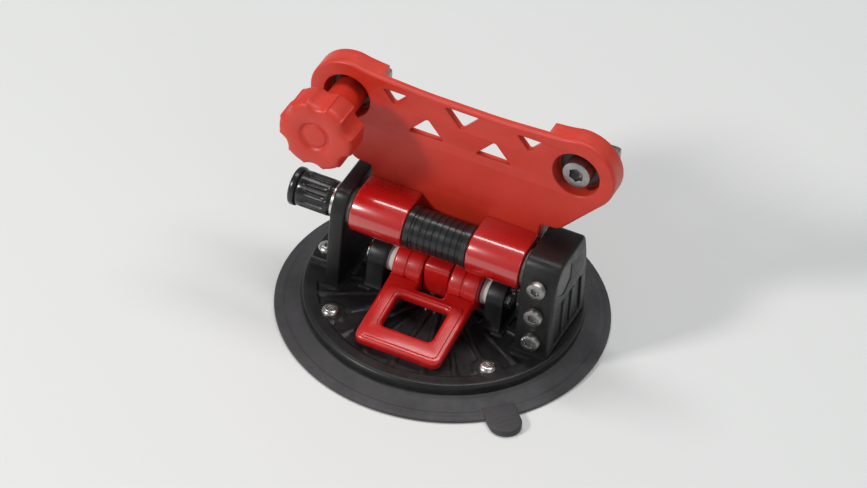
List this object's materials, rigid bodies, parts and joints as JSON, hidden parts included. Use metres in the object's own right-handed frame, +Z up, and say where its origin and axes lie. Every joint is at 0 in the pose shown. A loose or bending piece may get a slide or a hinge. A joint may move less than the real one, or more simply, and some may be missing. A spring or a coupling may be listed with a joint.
{
  "type": "vacuum suction cup",
  "caption": "Lever-operated vacuum suction cup with a round rubber pad, hinged on a barrel to a red truss bracket that a star knob clamps to a slotted rail.",
  "frame": {"origin": "centre of the round sealing face, on the plane the rubber lip rests on", "axes": "+X along the hinge barrel and the rail, +Y from the lever side to the rail side, +Z up out of the surface that the cup holds"},
  "size_m": [0.15, 0.15, 0.115],
  "materials": {
    "rubber": "matt moulded rubber",
    "black_plastic": "fine-grained moulded black",
    "red_moulding": "satin orange-red moulding",
    "red_gloss": "glossy deep red",
    "bright_steel": "zinc-plated steel",
    "brass": "turned brass",
    "bearing_plastic": "natural bearing plastic"
  },
  "bodies": {
    "cup": {"rubber_pad": "rubber", "pad_retaining_ring": "bright_steel", "base_plate": "black_plastic", "plate_screws": "bright_steel", "left_cheek": "black_plastic", "right_cheek": "black_plastic", "foot_screws": "bright_steel", "shaft_lock_screw": "bright_steel", "cheek_front_screws": "bright_steel", "stud_guide_bush": "brass", "lever_axle": "bright_steel", "axle_clip": "bright_steel", "axle_spacers": "bearing_plastic", "hinge_shaft": "bright_steel", "centre_band": "black_plastic", "friction_washers": "bearing_plastic"},
    "lift_core": {"pad_insert": "bright_steel", "lift_stud": "bright_steel", "lift_yoke": "red_gloss"},
    "lever": {"vacuum_lever": "red_gloss", "lever_eccentric": "bright_steel"},
    "bracket": {"bracket_plate": "red_moulding", "left_hinge_sleeve": "red_gloss", "right_hinge_sleeve": "red_gloss", "sleeve_bushes": "bearing_plastic", "sleeve_screws": "bright_steel", "knob_washer": "bright_steel", "rail_screw_washer": "bright_steel", "rail_screw": "bright_steel", "right_slot_nut": "bright_steel"},
    "knob": {"clamp_knob": "red_moulding", "knob_stud": "bright_steel"},
    "slot_nut": {"left_slot_nut": "bright_steel"},
    "tilt_washer": {"tilt_washer": "bright_steel"},
    "tilt_nut": {"tilt_nut": "black_plastic", "tilt_nut_insert": "brass", "tilt_nut_cap": "black_plastic"}
  },
  "joints": [
    {"name": "lever_swing", "type": "hinge", "parent": "cup", "child": "lever", "pos_m": [0, -0.004, 0.023], "axis": [-1, 0, 0], "range_deg": [0, 50]},
    {"name": "pad_lift", "type": "slide", "parent": "cup", "child": "lift_core", "axis": [0, 0, 1], "range_m": [-0.00186, 0], "deforming": ["rubber_pad"]},
    {"name": "bracket_tilt", "type": "hinge", "parent": "cup", "child": "bracket", "pos_m": [0, -0.008, 0.048], "axis": [1, 0, 0], "range_deg": [-8, 8]},
    {"name": "knob_turn", "type": "hinge", "parent": "bracket", "child": "knob", "pos_m": [-0.0545, 0, 0.097], "axis": [0, -1, 0], "range_deg": [0, 360]},
    {"name": "slot_nut_travel", "type": "slide", "parent": "bracket", "child": "slot_nut", "axis": [0, 1, 0], "range_m": [0, 0.00125]},
    {"name": "tilt_nut_travel", "type": "slide", "parent": "cup", "child": "tilt_washer", "axis": [-1, 0, 0], "range_m": [0, 0.000624]},
    {"name": "tilt_nut_turn", "type": "hinge", "parent": "tilt_washer", "child": "tilt_nut", "pos_m": [0, -0.008, 0.048], "axis": [-1, 0, 0], "range_deg": [0, 180]}
  ],
  "couplings": [
    {"joint": "lever_swing", "follows": "pad_lift", "rad_per_m": -469.3},
    {"joint": "knob_turn", "follows": "slot_nut_travel", "rad_per_m": 5026.5},
    {"joint": "tilt_nut_turn", "follows": "tilt_nut_travel", "rad_per_m": 5026.5}
  ]
}
